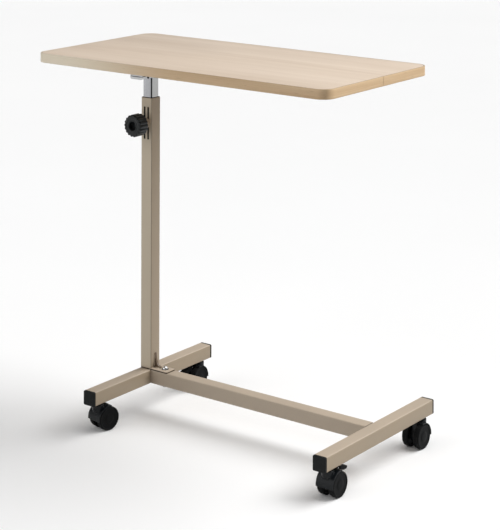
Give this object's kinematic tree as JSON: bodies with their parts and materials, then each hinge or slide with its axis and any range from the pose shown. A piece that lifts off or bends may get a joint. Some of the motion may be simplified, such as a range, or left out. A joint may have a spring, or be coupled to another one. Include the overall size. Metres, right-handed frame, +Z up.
{
  "type": "overbed table",
  "caption": "Wheeled overbed table: rectangular laminated top cantilevered on a square telescopic column with a knob clamp, on an H-shaped tube base with twin-wheel casters.",
  "frame": {"origin": "on the floor, under the middle of the whole object's bounding box", "axes": "+Z up; +X along the long side of the tabletop, away from the column and towards the free end of the base; -Y is the side the clamp knob faces"},
  "size_m": [0.777, 0.4, 0.788],
  "materials": {
    "laminate": "light beech-look melamine laminate, satin, with fine grain along the length",
    "edge_band": "tan plastic edge band with a small rounded upper edge",
    "bracket_zinc": "bright zinc plating over pressed steel",
    "chrome_tube": "bright chromium plating",
    "champagne_paint": "champagne beige powder coat, low sheen with fine orange peel",
    "fastener_steel": "plated steel fasteners",
    "black_plastic": "black moulded polyethylene",
    "knob_plastic": "black moulded phenolic with soft sheen",
    "nylon": "natural nylon",
    "caster_plastic": "black glass-filled nylon, satin",
    "wheel_plastic": "black hard nylon wheel"
  },
  "bodies": {
    "base": {"outer_column": "champagne_paint", "clamp_boss": "champagne_paint", "foot_plate": "champagne_paint", "foot_gusset": "champagne_paint", "left_leg": "champagne_paint", "right_leg": "champagne_paint", "cross_beam": "champagne_paint", "column_nut": "fastener_steel", "column_bolt": "fastener_steel", "foot_bolt": "fastener_steel", "foot_nut": "fastener_steel", "beam_spigot": "fastener_steel", "beam_screw_1": "fastener_steel", "beam_screw_2": "fastener_steel", "end_cap_front_left": "black_plastic", "end_cap_front_right": "black_plastic", "end_cap_back_left": "black_plastic", "end_cap_back_right": "black_plastic", "caster_front_left_insert": "fastener_steel", "caster_front_left_stem": "fastener_steel", "caster_front_right_insert": "fastener_steel", "caster_front_right_stem": "fastener_steel", "caster_back_left_insert": "fastener_steel", "caster_back_left_stem": "fastener_steel", "caster_back_right_insert": "fastener_steel", "caster_back_right_stem": "fastener_steel"},
    "tabletop": {"tabletop_panel": "laminate", "edge_band": "edge_band", "top_bracket": "bracket_zinc", "bracket_screw_1": "fastener_steel", "bracket_screw_2": "fastener_steel", "bracket_screw_3": "fastener_steel", "bracket_screw_4": "fastener_steel", "inner_column": "chrome_tube", "column_glide": "black_plastic"},
    "clamp_tip": {"pressure_tip": "nylon"},
    "clamp_knob": {"clamp_knob": "knob_plastic", "clamp_stud": "fastener_steel"},
    "caster_front_left": {"caster_front_left_body": "caster_plastic", "caster_front_left_axle": "fastener_steel"},
    "caster_front_left_wheel_left": {"caster_front_left_wheel_left": "wheel_plastic"},
    "caster_front_left_wheel_right": {"caster_front_left_wheel_right": "wheel_plastic"},
    "caster_front_right": {"caster_front_right_body": "caster_plastic", "caster_front_right_axle": "fastener_steel", "caster_front_right_brake_pin": "fastener_steel"},
    "caster_front_right_wheel_left": {"caster_front_right_wheel_left": "wheel_plastic"},
    "caster_front_right_wheel_right": {"caster_front_right_wheel_right": "wheel_plastic"},
    "caster_front_right_brake": {"caster_front_right_brake_lever": "caster_plastic"},
    "caster_back_left": {"caster_back_left_body": "caster_plastic", "caster_back_left_axle": "fastener_steel", "caster_back_left_brake_pin": "fastener_steel"},
    "caster_back_left_wheel_left": {"caster_back_left_wheel_left": "wheel_plastic"},
    "caster_back_left_wheel_right": {"caster_back_left_wheel_right": "wheel_plastic"},
    "caster_back_left_brake": {"caster_back_left_brake_lever": "caster_plastic"},
    "caster_back_right": {"caster_back_right_body": "caster_plastic", "caster_back_right_axle": "fastener_steel"},
    "caster_back_right_wheel_left": {"caster_back_right_wheel_left": "wheel_plastic"},
    "caster_back_right_wheel_right": {"caster_back_right_wheel_right": "wheel_plastic"}
  },
  "joints": [
    {"name": "column_height", "type": "slide", "parent": "base", "child": "tabletop", "axis": [0, 0, 1], "range_m": [-0.008, 0.262]},
    {"name": "clamp_feed", "type": "slide", "parent": "base", "child": "clamp_tip", "axis": [0, -1, 0], "range_m": [0, 0.0026]},
    {"name": "clamp_turn", "type": "hinge", "parent": "clamp_tip", "child": "clamp_knob", "pos_m": [-0.2215, -0.015, 0.628], "axis": [0, -1, 0], "range_deg": [0, 720]},
    {"name": "caster_front_left_swivel", "type": "hinge", "parent": "base", "child": "caster_front_left", "pos_m": [-0.2215, -0.17, 0.059], "axis": [0, 0, 1], "continuous": true},
    {"name": "caster_front_left_wheel_left_spin", "type": "hinge", "parent": "caster_front_left", "child": "caster_front_left_wheel_left", "pos_m": [-0.21817, -0.15435, 0.025], "axis": [0.9781, -0.2079, 0], "continuous": true},
    {"name": "caster_front_left_wheel_right_spin", "type": "hinge", "parent": "caster_front_left", "child": "caster_front_left_wheel_right", "pos_m": [-0.21817, -0.15435, 0.025], "axis": [0.9781, -0.2079, 0], "continuous": true},
    {"name": "caster_front_right_swivel", "type": "hinge", "parent": "base", "child": "caster_front_right", "pos_m": [0.3685, -0.17, 0.059], "axis": [0, 0, 1], "continuous": true},
    {"name": "caster_front_right_wheel_left_spin", "type": "hinge", "parent": "caster_front_right", "child": "caster_front_right_wheel_left", "pos_m": [0.3685, -0.154, 0.025], "axis": [1, 0, 0], "continuous": true},
    {"name": "caster_front_right_wheel_right_spin", "type": "hinge", "parent": "caster_front_right", "child": "caster_front_right_wheel_right", "pos_m": [0.3685, -0.154, 0.025], "axis": [1, 0, 0], "continuous": true},
    {"name": "caster_front_right_brake_press", "type": "hinge", "parent": "caster_front_right", "child": "caster_front_right_brake", "pos_m": [0.3685, -0.142, 0.0508], "axis": [-1, 0, 0], "range_deg": [0, 14]},
    {"name": "caster_back_left_swivel", "type": "hinge", "parent": "base", "child": "caster_back_left", "pos_m": [-0.2215, 0.17, 0.059], "axis": [0, 0, 1], "continuous": true},
    {"name": "caster_back_left_wheel_left_spin", "type": "hinge", "parent": "caster_back_left", "child": "caster_back_left_wheel_left", "pos_m": [-0.2215, 0.154, 0.025], "axis": [1, 0, 0], "continuous": true},
    {"name": "caster_back_left_wheel_right_spin", "type": "hinge", "parent": "caster_back_left", "child": "caster_back_left_wheel_right", "pos_m": [-0.2215, 0.154, 0.025], "axis": [1, 0, 0], "continuous": true},
    {"name": "caster_back_left_brake_press", "type": "hinge", "parent": "caster_back_left", "child": "caster_back_left_brake", "pos_m": [-0.2215, 0.142, 0.0508], "axis": [1, 0, 0], "range_deg": [0, 14]},
    {"name": "caster_back_right_swivel", "type": "hinge", "parent": "base", "child": "caster_back_right", "pos_m": [0.3685, 0.17, 0.059], "axis": [0, 0, 1], "continuous": true},
    {"name": "caster_back_right_wheel_left_spin", "type": "hinge", "parent": "caster_back_right", "child": "caster_back_right_wheel_left", "pos_m": [0.3685, 0.154, 0.025], "axis": [1, 0, 0], "continuous": true},
    {"name": "caster_back_right_wheel_right_spin", "type": "hinge", "parent": "caster_back_right", "child": "caster_back_right_wheel_right", "pos_m": [0.3685, 0.154, 0.025], "axis": [1, 0, 0], "continuous": true}
  ],
  "couplings": [
    {"joint": "clamp_feed", "follows": "clamp_turn", "m_per_rad": 0.00019894}
  ]
}
